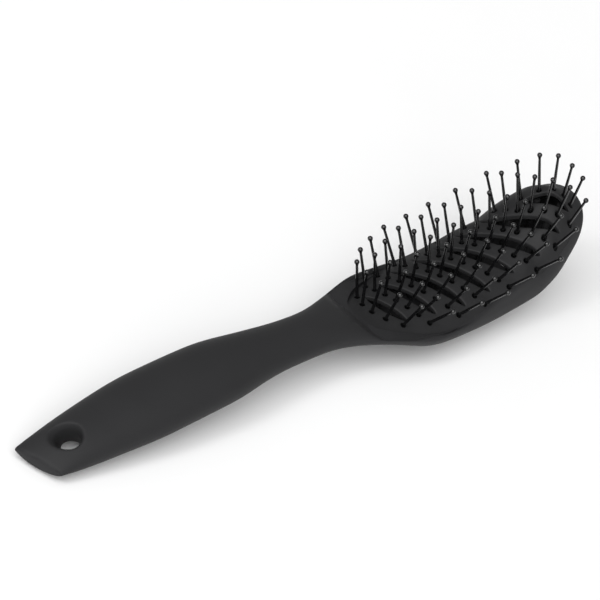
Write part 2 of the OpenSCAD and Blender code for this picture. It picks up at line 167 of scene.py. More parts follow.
# The vent plate's crown, its dip along the head (lowest place, how far past it the plate still
# rises, length and height of the curve, and the curve's terms), and the rim beside it
CROWN_RADIUS = 27.0
DIP_AT, DIP_RISE, DIP_LENGTH, DIP_HEIGHT = 46.03, 39.0, 35.0, 5
DIP_TERMS = (0.5, 0.969, 0.582)
RIM = 1.65

# The plate comes down to the shell at FLUSH_AT, at a slope. The two levels are blended from
# FLUSH_FROM on, and FLUSH_BLEND, in square millimetres, sets how roundly.
FLUSH_FROM, FLUSH_AT, FLUSH_SLOPE, FLUSH_BLEND = 50.25, 68.3, 0.17, 0.49

# Outline of the vent plate near the handle: x, half width
NOSE = np.array([
    (-4.72, 1.5), (-3.52, 6.24), (0.0, 9.36), (7.04, 13.06),
    (14.07, 15.21), (22.1, 16.7), (30.2, 17.16),
])
PLATE_START, PLATE_END, PLATE_ROUND = -4.72, 94.47, 82.4


# ---------------------------------------------------------------- the brush's surfaces

def monotone(table, column, x):
    """A smooth curve through a column of the table that never overshoots its points."""
    xs, ys = table[:, 0], table[:, column]
    step = np.diff(ys) / np.diff(xs)
    slope = np.zeros(len(xs))
    slope[0], slope[-1] = step[0], step[-1]
    for i in range(1, len(xs) - 1):
        a, b = step[i - 1], step[i]
        slope[i] = 0.0 if a * b <= 0 else 2 * a * b / (a + b)
    i = np.clip(np.searchsorted(xs, x, side="right") - 1, 0, len(xs) - 2)
    width = xs[i + 1] - xs[i]
    u = (x - xs[i]) / width
    return (ys[i] * (1 + 2 * u) * (1 - u) ** 2 + slope[i] * width * u * (1 - u) ** 2
            + ys[i + 1] * u * u * (3 - 2 * u) - slope[i + 1] * width * u * u * (1 - u))


def eased(column, x):
    """The sections' curve, softened so that no station shows, except where the head curls up."""
    x = np.asarray(x, float)
    reach = SOFTENED / 2 * np.clip(np.minimum(x - HANDLE_END, CURL_FROM - x) / SOFTENED, 0, 1)
    weights = {-2: 1, -1: 4, 0: 6, 1: 4, 2: 1}
    curves = (w * monotone(SECTIONS, column, x + k * reach) for k, w in weights.items())
    return sum(curves) / sum(weights.values())


def closing(x, start, power):
    """1 along the head, falling to 0 at the tip in a rounded end."""
    share = np.clip((x - start) / (TIP_END - start), 0, 1)
    return np.sqrt(np.maximum(0, 1 - share ** power))


def half_width(x):
    return eased(1, x) * closing(x, *OUTLINE_CLOSES)


def skin_level(x):
    return eased(2, x)


def skin_up(x):
    return eased(3, x) * closing(x, *TOP_CLOSES)


def skin_down(x):
    return eased(4, x) * closing(x, *OUTLINE_CLOSES)


def skin_top(x, y):
    w = np.maximum(half_width(x), 1e-4)
    n = eased(5, x)
    height = np.maximum(0, 1 - np.minimum(1, np.abs(y) / w) ** n) ** (1 / n)
    return skin_level(x) + skin_up(x) * height


def skin_bottom(x, y):
    w = np.maximum(half_width(x), 1e-4)
    depth = np.sqrt(np.maximum(0, 1 - np.minimum(1, np.abs(y) / w) ** 2))
    return skin_level(x) - skin_down(x) * depth


def plate_top(x, y):
    """The vent plate: crowned across, dipping along the head, flush with the shell at its tip."""
    v = np.minimum(x - DIP_AT, DIP_RISE) / DIP_LENGTH
    a, b, c = DIP_TERMS
    field = DIP_HEIGHT * (a * v ** 2 + b * v ** 3 + c * v ** 4)
    z = field - CROWN_RADIUS + np.sqrt(np.maximum(1, CROWN_RADIUS ** 2 - y * y))
    flush = skin_top(x, y) + FLUSH_SLOPE * np.maximum(0, FLUSH_AT - x)
    blended = (z + flush - np.sqrt((z - flush) ** 2 + FLUSH_BLEND)) / 2
    return np.where(x < FLUSH_FROM, z, blended)


def plate_slope(x, y):
    """Slope of the vent plate along the brush."""
    return (plate_top(x + 0.2, y) - plate_top(x - 0.2, y)) / 0.4


def slope_stretch(lengthways, sideways=0):
    """How much longer a thickness is when measured straight down a slope, at most 1.6 times."""
    return np.minimum(1.6, np.sqrt(1 + lengthways ** 2 + sideways ** 2))


def plate_half(x):
    share = np.clip((x - PLATE_ROUND) / (PLATE_END - PLATE_ROUND), 0, 1)
    nose = monotone(NOSE, 1, np.clip(x, PLATE_START, NOSE[-1, 0]))
    return np.minimum(nose, half_width(x) - RIM) * np.sqrt(np.maximum(0.02, 1 - share ** 3))


def place(points):
    """Millimetres along the brush to metres in the frame that it lies in."""
    p = np.asarray(points, float)
    c, s = math.cos(LAY_TILT), math.sin(LAY_TILT)
    return np.stack([
        p[:, 0] * c - p[:, 2] * s + LAY_SHIFT[0], p[:, 1], p[:, 0] * s + p[:, 2] * c + LAY_SHIFT[1],
    ], 1) * MM


def row_x(row, y):
    start, _, slant, bow = ROWS[row][:4]
    return start - math.tan(math.radians(slant)) * y + bow * y * y / BOW_SCALE


def pin_turn(row, index):
    return index - (ROWS[row][1] - 1) / 2


def pin_y(row, index):
    return CROWN_RADIUS * math.sin(pin_turn(row, index) * ROWS[row][4] / CROWN_RADIUS)


def pin_angle(row, index):
    return math.radians(pin_turn(row, index) * ROWS[row][5] + ROWS[row][6])


# ---------------------------------------------------------------- outlines in plan

def plate_outline(gap=0.0, count=90):
    t = (1 - np.cos(np.linspace(0, math.pi, count))) / 2
    x = PLATE_START + t * (PLATE_END - PLATE_START)
    half = plate_half(x) - gap
    x = x + gap * (1 - 2 * t)
    return np.concatenate([np.stack([x, half], 1), np.stack([x, -half], 1)[::-1]])


def slot_outline(gap, at, middle, width, reach, count=36):
    """A lens-shaped slot that takes its slant from the rows on either side."""
    a, b = ROWS[gap], ROWS[gap + 1]
    angle = math.radians((a[2] + b[2]) / 2)
    sides = []
    for side in (1, -1):
        u = side * np.cos(np.linspace(0, math.pi, count))
        y = middle + u * reach
        x = at - math.tan(angle) * y + (a[3] + b[3]) / 4 * y * y / BOW_SCALE
        half = width / 2 * np.maximum(0, 1 - u * u) ** SLOT_ROUNDNESS / math.cos(angle)
        sides.append(np.stack([x + side * half, y], 1)[:-1])
    return np.concatenate(sides)


def plate_slots(width):
    return [slot_outline(i, (ROWS[i][0] + ROWS[i + 1][0]) / 2, middle, width, reach)
            for i, (reach, middle) in enumerate(SLOTS)]


def back_slots(width):
    """The slots in the back are short and stand clear of the posts."""
    return [slot_outline(i, BACK_SLOT_START + BACK_SLOT_STEP * i, 0, width, BACK_SLOT_REACH)
            for i in range(BACK_SLOT_COUNT)]


def circle(x, y, radius, count=20):
    t = np.linspace(0, 2 * math.pi, count, endpoint=False)
    return np.stack([x + radius * np.cos(t), y + radius * np.sin(t)], 1)


def grown(loop, distance):
    """The loop moved outwards by a distance."""
    ahead, behind = np.roll(loop, -1, 0), np.roll(loop, 1, 0)
    tangent = ahead - behind
    tangent /= np.maximum(1e-9, np.linalg.norm(tangent, axis=1))[:, None]
    out = np.stack([tangent[:, 1], -tangent[:, 0]], 1)
    area = np.sum(loop[:, 0] * ahead[:, 1] - ahead[:, 0] * loop[:, 1])
    return loop + out * distance * (1 if area > 0 else -1)


def inside(points, loop):
    """Which points lie within a closed loop."""
    x, y = points[:, 0][:, None], points[:, 1][:, None]
    ax, ay = loop[:, 0][None], loop[:, 1][None]
    bx, by = np.roll(loop[:, 0], -1)[None], np.roll(loop[:, 1], -1)[None]
    crosses = (ay > y) != (by > y)
    with np.errstate(divide="ignore", invalid="ignore"):
        left = x < (bx - ax) * (y - ay) / (by - ay) + ax
    return (np.sum(crosses & left, axis=1) % 2) == 1


def distance_to(points, loop):
    """Distance in plan from each point to a closed loop."""
    best = np.full(len(points), 1e9)
    for a, b in zip(loop, np.roll(loop, -1, 0)):
        d = b - a
        t = np.clip((points - a) @ d / max(1e-12, d @ d), 0, 1)
        best = np.minimum(best, np.linalg.norm(points - a - t[:, None] * d, axis=1))
    return best


# ---------------------------------------------------------------- sheets with holes

def triangulated(outline, holes, extra):
    """A flat sheet with holes: its points, its triangles, and the point numbers of each loop."""
    loops = [outline, *holes]
    points = np.concatenate([*loops, extra])
    edges, start = [], 0
    for loop in loops:
        n = len(loop)
        edges += [(start + i, start + (i + 1) % n) for i in range(n)]
        start += n
    coords, _, faces, source, _, _ = delaunay_2d_cdt(
        [Vector(p) for p in points], edges, [], 0, 1e-5, True)
    coords = np.array([tuple(c) for c in coords])
    faces = np.array([tuple(f) for f in faces])
    middle = coords[faces].mean(axis=1)
    keep = inside(middle, outline)
    for hole in holes:
        keep &= ~inside(middle, hole)
    number = {old: new for new, olds in enumerate(source) for old in olds}
    rings, start = [], 0
    for loop in loops:
        rings.append([number[start + i] for i in range(len(loop))])
        start += len(loop)
    return coords, faces[keep], rings


def clear_of(points, loops, margin):
    """The points that lie further than a margin from every loop."""
    keep = np.ones(len(points), bool)
    for loop in loops:
        low, high = loop.min(0) - margin, loop.max(0) + margin
        near = np.all((points > low) & (points < high), axis=1) & keep
        if near.any():
            keep[near] = distance_to(points[near], loop) > margin
    return points[keep]


def lattice(low, high, step):
    """Points on a staggered lattice."""
    xs = np.arange(low[0], high[0], step)
    ys = np.arange(low[1], high[1], step * 0.87)
    return np.array([(x + (0.5 * step if j % 2 else 0), y) for j, y in enumerate(ys) for x in xs])


def closed_shell(upper, lower, faces, rings):
    """Joins two copies of a sheet into a closed solid, with walls along the rings."""
    n = len(upper)
    faces = [tuple(f) for f in faces]
    walls = []
    for ring in rings:
        walls += [(a, b, n + b, n + a) for a, b in zip(ring, ring[1:] + ring[:1])]
    turned = [tuple(n + i for i in f[::-1]) for f in faces]
    return np.concatenate([upper, lower]), faces + turned + walls


def make_piece(name, parts, material, nodes):
    """One welded mesh from sets of points and faces, facing outwards and placed in the frame."""
    points, faces, start = [], [], 0
    for p, f in parts:
        points.append(np.asarray(p, float))
        faces += [tuple(start + int(i) for i in face) for face in f]
        start += len(p)
    mesh = bpy.data.meshes.new(name)
    mesh.from_pydata(place(np.concatenate(points)).tolist(), [], faces)
    work = bmesh.new()
    work.from_mesh(mesh)
    bmesh.ops.remove_doubles(work, verts=work.verts, dist=2e-6)
    bmesh.ops.dissolve_degenerate(work, edges=work.edges, dist=1e-6)
    bmesh.ops.recalc_face_normals(work, faces=work.faces)
    work.to_mesh(mesh)
    work.free()
    mesh.shade_smooth()
    mesh.set_sharp_from_angle(angle=math.radians(48))
    mesh.materials.append(material)
    piece = bpy.data.objects.new(name, mesh)
    bpy.context.scene.collection.objects.link(piece)
    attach(piece, BODY)
    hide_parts(*nodes)
    return piece


# ---------------------------------------------------------------- finishes

def linear(colour):
    """An sRGB hex colour as linear RGBA."""
    values = [int(colour.lstrip("#")[i:i + 2], 16) / 255 for i in (0, 2, 4)]
    return (*[v / 12.92 if v <= 0.04045 else ((v + 0.055) / 1.055) ** 2.4 for v in values], 1.0)


def add_node(tree, kind, settings=None, inputs=None):
    """Adds a node with its settings, and its inputs as values or as links from other sockets."""
    node = tree.nodes.new(kind)
    for name, value in (settings or {}).items():
        setattr(node, name, value)
    for name, value in (inputs or {}).items():
        if isinstance(value, bpy.types.NodeSocket):
            tree.links.new(value, node.inputs[name])
        else:
            node.inputs[name].default_value = value
    return node


def finish(name, build, colour):
    """A material by name, built the first time that it is asked for."""
    material = bpy.data.materials.get(name)
    if material is None:
        material = bpy.data.materials.new(name)
        material.use_nodes = True
        material.node_tree.nodes.clear()
        build(material.node_tree, colour)
    return material


def shaded(colour, factor):
    """The colour made lighter or darker."""
    return (*[c * factor for c in colour[:3]], 1.0)


def rubber_paint(tree, colour):
    """Soft-touch polyurethane paint sprayed on ABS: broad dull highlight, faint orange peel."""
    where = add_node(tree, "ShaderNodeTexCoord").outputs["Object"]
    # Cloudiness of the sprayed coat, in patches of about 12 mm
    cloud = add_node(tree, "ShaderNodeTexNoise", inputs={
        "Vector": where, "Scale": 80.0, "Detail": 3.0,
    })
    tone = add_node(tree, "ShaderNodeMix", {"data_type": "RGBA"}, {
        0: cloud.outputs[0], 6: shaded(colour, 0.92), 7: shaded(colour, 1.08),
    })
    # Orange peel, 0.9 mm from crest to crest, with a 0.25 mm grain on it
    peel = add_node(tree, "ShaderNodeTexNoise", inputs={
        "Vector": where, "Scale": 1100.0, "Detail": 2.0,
    })
    grain = add_node(tree, "ShaderNodeTexNoise", inputs={
        "Vector": where, "Scale": 4000.0, "Detail": 1.0,
    })
    height = add_node(tree, "ShaderNodeMath", {"operation": "MULTIPLY_ADD"}, {
        0: grain.outputs[0], 1: 0.5, 2: peel.outputs[0],
    })
    bump = add_node(tree, "ShaderNodeBump", inputs={
        "Height": height.outputs[0], "Strength": 0.25, "Distance": 0.00006,
    })
    rough = add_node(tree, "ShaderNodeMapRange", inputs={0: cloud.outputs[0], 3: 0.50, 4: 0.60})
    shader = add_node(tree, "ShaderNodeBsdfPrincipled", inputs={
        "Base Color": tone.outputs[2], "Roughness": rough.outputs[0], "Normal": bump.outputs[0],
        "IOR": 1.46, "Specular IOR Level": 0.15,
    })
    add_node(tree, "ShaderNodeOutputMaterial", inputs={"Surface": shader.outputs[0]})


def eroded_plastic(tree, colour):
    """Matte ABS from a spark-eroded mould: darker than the painted shell, with a fine grain."""
    where = add_node(tree, "ShaderNodeTexCoord").outputs["Object"]
    # Mould grain, drawn at 0.35 mm so that it still shows
    grain = add_node(tree, "ShaderNodeTexVoronoi", inputs={"Vector": where, "Scale": 2800.0})
    flow = add_node(tree, "ShaderNodeTexNoise", inputs={
        "Vector": where, "Scale": 160.0, "Detail": 4.0,
    })
    tone = add_node(tree, "ShaderNodeMix", {"data_type": "RGBA"}, {
        0: flow.outputs[0], 6: shaded(colour, 0.86), 7: shaded(colour, 1.14),
    })
    bump = add_node(tree, "ShaderNodeBump", inputs={
        "Height": grain.outputs["Distance"], "Strength": 0.3, "Distance": 0.00005,
    })
    rough = add_node(tree, "ShaderNodeMapRange", inputs={0: flow.outputs[0], 3: 0.55, 4: 0.68})
    shader = add_node(tree, "ShaderNodeBsdfPrincipled", inputs={
        "Base Color": tone.outputs[2], "Roughness": rough.outputs[0], "Normal": bump.outputs[0],
        "IOR": 1.5, "Specular IOR Level": 0.3,
    })
    add_node(tree, "ShaderNodeOutputMaterial", inputs={"Surface": shader.outputs[0]})


def polished_nylon(tree, colour):
    """Nylon 66 from a polished mould: small sharp highlights on the balls and down each stem."""
    where = add_node(tree, "ShaderNodeTexCoord").outputs["Object"]
    # Cloudy flow marks, about 2 mm apart
    flow = add_node(tree, "ShaderNodeTexNoise", inputs={
        "Vector": where, "Scale": 500.0, "Detail": 3.0,
    })
    tone = add_node(tree, "ShaderNodeMix", {"data_type": "RGBA"}, {
        0: flow.outputs[0], 6: shaded(colour, 0.8), 7: shaded(colour, 1.25),
    })
    rough = add_node(tree, "ShaderNodeMapRange", inputs={0: flow.outputs[0], 3: 0.08, 4: 0.16})
    shader = add_node(tree, "ShaderNodeBsdfPrincipled", inputs={
        "Base Color": tone.outputs[2], "Roughness": rough.outputs[0],
        "IOR": 1.53, "Specular IOR Level": 0.6,
    })
    add_node(tree, "ShaderNodeOutputMaterial", inputs={"Surface": shader.outputs[0]})


def studio_paper(tree, colour):
    """Seamless background paper: even, matte and pale."""
    where = add_node(tree, "ShaderNodeTexCoord").outputs["Object"]
    # Unevenness of the pulp, in patches of about 60 mm
    pulp = add_node(tree, "ShaderNodeTexNoise", inputs={
        "Vector": where, "Scale": 16.0, "Detail": 2.0,
    })
    tone = add_node(tree, "ShaderNodeMix", {"data_type": "RGBA"}, {
        0: pulp.outputs[0], 6: shaded(colour, 0.99), 7: shaded(colour, 1.01),
    })
    shader = add_node(tree, "ShaderNodeBsdfPrincipled", inputs={
        "Base Color": tone.outputs[2], "Roughness": 0.95,
    })
    add_node(tree, "ShaderNodeOutputMaterial", inputs={"Surface": shader.outputs[0]})


def painted_shell():
    colour = bpy.context.scene.brush_shell.colour
    return finish("Soft-touch rubber paint on ABS, sprayed", rubber_paint, colour)


# ---------------------------------------------------------------- the shells' domain

# The skins are meshed in (t, s): t runs along the brush, closer together at the tip, and s round a
# section from one joint line to the other.
TIP_FROM = 88.0    # where the points start to stand closer together
ROUND = 15.0       # s for each radian round a section


def along(x):
    """Place along the brush to t."""
    reach = TIP_END - TIP_FROM
    angle = np.arcsin(np.clip((x - TIP_FROM) / reach, 0, 1))
    return np.where(x < TIP_FROM, x, TIP_FROM + reach * angle)


def from_along(t):
    reach = TIP_END - TIP_FROM
    angle = np.clip((t - TIP_FROM) / reach, 0, math.pi / 2)
    return np.where(t < TIP_FROM, t, TIP_FROM + reach * np.sin(angle))


def skin_domain(loop):
    """A loop in plan to the skins' (t, s)."""
    x, y = loop[:, 0], loop[:, 1]
    return np.stack([along(x), ROUND * np.arccos(np.clip(y / half_width(x), -1, 1))], 1)


def skin_grid(start, end, step):
    """Outline and inner points of a skin between two places along the brush."""
    a, b, top = float(along(np.array(start))), float(along(np.array(end))), ROUND * math.pi
    nt, ns = int(round((b - a) / step)), int(round(top / step))
    t, s = np.linspace(a, b, nt + 1), np.linspace(0, top, ns + 1)
    outline = np.concatenate([
        np.stack([t, 0 * t], 1)[:-1], np.stack([0 * s + b, s], 1)[:-1],
        np.stack([t, 0 * t + top], 1)[:0:-1], np.stack([0 * s + a, s], 1)[:0:-1],
    ])
    inner = lattice((a + step * 0.6, step * 1.3), (b - step * 0.5, top - step), step)
    # Two more lines of points beside each joint line, where the skin is steepest
    lines = [np.stack([t[1:-1], 0 * t[1:-1] + v], 1) for m in (0.15, 0.45) for v in (m, top - m)]
    return outline, np.concatenate([inner, *lines])


def smooth(share):
    share = np.clip(share, 0, 1)
    return share * share * (3 - 2 * share)


def rounded_edge(distance, radius):
    """How far a rounded edge drops below the surface, at a distance from the hole or end."""
    u = 1 - np.clip(distance / radius, 0, 1)
    return radius * (1 - np.sqrt(1 - u * u))


def nearest(points, loop):
    """Distance from each point to the nearest of the loop's points, and which one that is."""
    gap = np.linalg.norm(points[:, None, :] - loop[None, :, :], axis=2)
    return gap.min(axis=1), gap.argmin(axis=1)


# ---------------------------------------------------------------- the pieces

def end_move(x, y, w):
    """How far the slant and the bulge move a point of the handle's end."""
    fade = (np.maximum(0, BLOCK_AT - x) / END_BLOCK) ** 2
    return -(y * math.tan(END_SLANT) + END_BULGE * (1 - (y / w) ** 2)) * fade


def build_handle_end(shell):
    bore, mouth = shell.hang_bore / MM / 2, shell.hang_mouth / MM / 2 + MOUTH_RUN_OUT
    edge, depth = shell.end_edge / MM, shell.mouth_depth / MM
    axis = np.array([-math.sin(HANG_LEAN), 0, math.cos(HANG_LEAN)])
    # Rings of points from the bore to the edge of its dished mouth
    rings = (0, 0.12, 0.3, 0.5, 0.7, 0.86, 1)
    sheets = []
    for side in (1, -1):
        top_x = HANG_AT - side * float(skin_up(np.array(HANG_AT))) * math.tan(HANG_LEAN)
        loops = [circle(top_x, 0, bore + (mouth - bore) * q, 56) for q in rings]
        outline, inner = skin_grid(HANDLE_END, BLOCK_AT, shell.mesh_step / MM)
        a = np.linspace(0, edge, 7)[1:-1] + HANDLE_END
        s = np.linspace(0, ROUND * math.pi, 50)[1:-1]
        end_lines = np.array([(p, q) for p in a for q in s])
        inner = np.concatenate([inner[inner[:, 0] > HANDLE_END + edge + 0.2], end_lines])
        inner = clear_of(inner, [skin_domain(loops[-1])], 0.35)
        inner = inner[~inside(inner, skin_domain(loops[-1]))]
        inner = np.concatenate([inner, *[skin_domain(r) for r in loops[1:]]])
        coords, faces, numbers = triangulated(outline, [skin_domain(loops[0])], inner)
        x = from_along(coords[:, 0])
        theta = coords[:, 1] / ROUND
        cut = rounded_edge(x - HANDLE_END, edge)    # what the rounded end takes off the section
        full = half_width(x)
        w = full - 0.3 * cut
        y = w * np.cos(theta)
        rise = (skin_up(x) if side > 0 else skin_down(x)) - cut
        z = skin_level(x) + side * rise * np.sin(theta)
        r = np.hypot(x - top_x, full * np.cos(theta))
        q = np.clip((mouth - r) / (mouth - bore), 0, 1)
        down = depth * q ** 1.5
        x = x + end_move(x, y, full)
        points = np.stack([x, y, z], 1) - side * down[:, None] * axis
        sheets.append((points, faces, numbers))
    (top, top_faces, top_rings), (bottom, bottom_faces, bottom_rings) = sheets
    n = len(top)
    faces = [tuple(f) for f in top_faces] + [tuple(n + i for i in f) for f in bottom_faces]
    hole_a, hole_b = top_rings[1], [n + i for i in bottom_rings[1]]
    faces += [(a, b, d, c) for a, b, c, d in zip(
        hole_a, hole_a[1:] + hole_a[:1], hole_b, hole_b[1:] + hole_b[:1])]
    rim_top, rim_bottom = top_rings[0], [n + i for i in bottom_rings[0]]
    # The two ends are closed; along the sides the sheets meet and are welded
    across = int(round(ROUND * math.pi / (shell.mesh_step / MM)))
    side_count = (len(rim_top) - 2 * across) // 2
    for first in (side_count, 2 * side_count + across):
        for k in range(across):
            i, j = (first + k) % len(rim_top), (first + k + 1) % len(rim_top)
            faces.append((rim_top[i], rim_top[j], rim_bottom[j], rim_bottom[i]))
    part = (np.concatenate([top, bottom]), faces)
    return make_piece("handle_end_piece", [part], painted_shell(), ["handle_end"])


# From here on the inner skin falls behind the outer one, which leaves a wall at the tip
INSIDE_TIP = 95
# The shoulder round the window widens towards the nose: by how many times its width, from where,
# and over what length
SHOULDER_GAIN, SHOULDER_FROM, SHOULDER_RUN = 2.2, 16, 21


def shell_inside(x, theta, side, wall):
    """A point of the inner skin, which closes in towards the tip."""
    w, rise = half_width(x), skin_up(x) if side > 0 else skin_down(x)
    inner_w = w - wall * np.minimum(1, w / (3 * wall))
    inner_rise = np.maximum(rise - wall, 0.2 * rise)
    n = eased(5, x) if side > 0 else 2.0
    height = np.maximum(0, 1 - np.abs(np.cos(theta)) ** n) ** (1 / n)
    deep = np.where(x > INSIDE_TIP, INSIDE_TIP + (x - INSIDE_TIP) * 0.6, x)
    return np.stack([deep, inner_w * np.cos(theta), skin_level(x) + side * inner_rise * height], 1)


def build_front_shell(shell):
    wall, shoulder = shell.wall / MM, shell.shoulder / MM
    window = plate_outline()
    outline, inner = skin_grid(BLOCK_AT, TIP_END, shell.mesh_step / MM)
    loop = skin_domain(window)
    rings = [skin_domain(grown(window, d)) for d in (0.25, 0.6)]
    inner = clear_of(inner, [loop], 0.9)
    inner = inner[~inside(inner, loop)]
    coords, faces, numbers = triangulated(outline, [loop], np.concatenate([inner, *rings]))
    x, theta = from_along(coords[:, 0]), coords[:, 1] / ROUND
    y = half_width(x) * np.cos(theta)
    z = skin_top(x, y)
    skin = np.stack([x, y, z], 1)
    edge = np.stack([window[:, 0], window[:, 1], skin_top(window[:, 0], window[:, 1])], 1)
    # The window's edge, with two more points between each two
    fine = np.concatenate([edge + (np.roll(edge, -1, 0) - edge) * f for f in (0, 0.33, 0.67)])
    distance, which = nearest(skin, fine)
    to_nose = smooth((SHOULDER_FROM - fine[which, 0]) / SHOULDER_RUN)
    share = np.clip(distance / (shoulder * (1 + SHOULDER_GAIN * to_nose)), 0, 1)
    # 1 at the window's edge and 0 where the shoulder ends, with no crease at either
    near = (1 - share) ** 3 * (1 + 3 * share + 6 * share ** 2)
    # The shoulder fades out towards the joint lines, where the two shells meet
    seam = smooth(np.sin(theta) / 0.3)
    skin[:, 2] += (plate_top(x, y) - z) * near * seam + STAND_OFF
    under = shell_inside(x, theta, 1, wall)
    flat = np.stack([x, y, skin[:, 2] - wall], 1)
    under = under * (1 - near)[:, None] + flat * near[:, None]
    under[:, 2] = np.minimum(under[:, 2], skin[:, 2] - 0.3 * wall)
    under[:, 2] = np.maximum(under[:, 2], skin_level(x) + STAND_OFF)
    part = closed_shell(skin, under, faces, numbers)
    return make_piece("front_shell_piece", [part], painted_shell(), ["front_shell"])


def post(x, y, foot, head, radius):
    """A round post of the back shell, closed at both ends."""
    ring = circle(x, y, radius, 20)
    n = len(ring)
    points = np.concatenate([np.column_stack([ring, np.full(n, z)]) for z in (foot, head)])
    faces = [(i, (i + 1) % n, n + (i + 1) % n, n + i) for i in range(n)]
    return points, [*faces, tuple(range(n))[::-1], tuple(range(n, 2 * n))]


def build_back_shell(shell, plate):
    wall, step = shell.wall / MM, shell.mesh_step / MM
    radius = plate.slot_edge / MM
    slots = back_slots(plate.back_slot_width / MM)
    outline, inner = skin_grid(BLOCK_AT, TIP_END, step)
    loops = [skin_domain(s) for s in slots]
    rings = [skin_domain(grown(s, d * radius)) for s in slots for d in (0.12, 0.4, 1.0)]
    outer = [skin_domain(grown(s, radius)) for s in slots]
    inner = clear_of(inner, outer, 0.3)
    for o in outer:
        inner = inner[~inside(inner, o)]
    coords, faces, numbers = triangulated(outline, loops, np.concatenate([inner, *rings]))
    x, theta = from_along(coords[:, 0]), coords[:, 1] / ROUND
    y = half_width(x) * np.cos(theta)
    z = skin_level(x) - skin_down(x) * np.sin(theta) - STAND_OFF
    distance = np.full(len(x), 9.0)
    plan = np.stack([x, y], 1)
    for s in slots:
        near = np.all((plan > s.min(0) - 1) & (plan < s.max(0) + 1), axis=1)
        distance[near] = np.minimum(distance[near], distance_to(plan[near], s))
    z = z + rounded_edge(distance, radius)
    skin = np.stack([x, y, z], 1)
    under = shell_inside(x, theta, -1, wall)
    under[:, 2] = np.minimum(under[:, 2], skin_level(x) - STAND_OFF)
    parts = [closed_shell(skin, under, faces, numbers)]
    for r, row in enumerate(ROWS):
        for side in (-1, 1):
            py = side * POST_SHARE * pin_y(r, row[1] - 1)
            px = row_x(r, py)
            foot = float(skin_bottom(np.array(px), np.array(py))) + wall / 2
            head = float(plate_top(np.array(px), np.array(py))) - plate.thickness / MM - POST_DROP
            if head > foot:
                parts.append(post(px, py, foot, head, POST_RADIUS))
    return make_piece("back_shell_piece", parts, painted_shell(), ["back_shell"])


def sockets(plate):
    """Outlines in plan of the sockets around the pins."""
    loops = []
    for r, row in enumerate(ROWS):
        for j in range(row[1]):
            y = pin_y(r, j)
            ring = circle(0, 0, plate.socket / MM / 2, 22)
            ring[:, 1] *= math.cos(pin_angle(r, j))
            loops.append(ring + (row_x(r, y), y))
    return loops


def build_plate(plate):
    step = plate.mesh_step / MM
    slot_edge, socket_edge = plate.slot_edge / MM, plate.socket_edge / MM
    outline = plate_outline(0.03)
    slots = plate_slots(plate.slot_width / MM)
    holes = sockets(plate)
    rings = [grown(s, d * slot_edge) for s in slots for d in (0.12, 0.4, 1.0)]
    rings += [grown(h, d * socket_edge) for h in holes for d in (0.15, 0.45, 1.0)]
    outer = [grown(s, slot_edge) for s in slots] + [grown(h, socket_edge) for h in holes]
    inner = lattice((PLATE_START, -19), (PLATE_END, 19), step)
    inner = inner[inside(inner, outline)]
    inner = clear_of(inner, [outline], 0.45)
    inner = clear_of(inner, outer, 0.2)
    for o in outer:
        inner = inner[~inside(inner, o)]
    inner = np.concatenate([inner, *rings])
    coords, faces, numbers = triangulated(outline, [*slots, *holes], inner)
    x, y = coords[:, 0], coords[:, 1]
    z = plate_top(x, y)
    for loops, radius in ((slots, slot_edge), (holes, socket_edge)):
        distance = np.full(len(x), 9.0)
        for loop in loops:
            near = np.all((coords > loop.min(0) - radius) & (coords < loop.max(0) + radius), axis=1)
            if near.any():
                distance[near] = np.minimum(distance[near], distance_to(coords[near], loop))
        z = z - rounded_edge(distance, radius)
    depth = plate.thickness / MM * slope_stretch(plate_slope(x, y))
    upper = np.stack([x, y, z], 1)
    lower = np.stack([x, y * (1 - depth / CROWN_RADIUS),
                      plate_top(x, y) - depth * np.sqrt(1 - (y / CROWN_RADIUS) ** 2)], 1)
    material = finish("Matte ABS, spark-eroded mould grain", eroded_plastic, plate.colour)
    part = closed_shell(upper, lower, faces, numbers)
    return make_piece("vent_plate_piece", [part], material, ["vent_grille"])


# The pin tree's inputs, and the settings that they take
PIN_SIZES = {
    "Length": "length", "Ball diameter": "ball", "Root diameter": "root",
    "Stem diameter": "stem", "Flare length": "flare", "Boss diameter": "boss",
    "Boss drop": "boss_drop", "Foot depth": "foot",
}
BAR_GAP = 0.4    # between the vent plate and the bar behind it


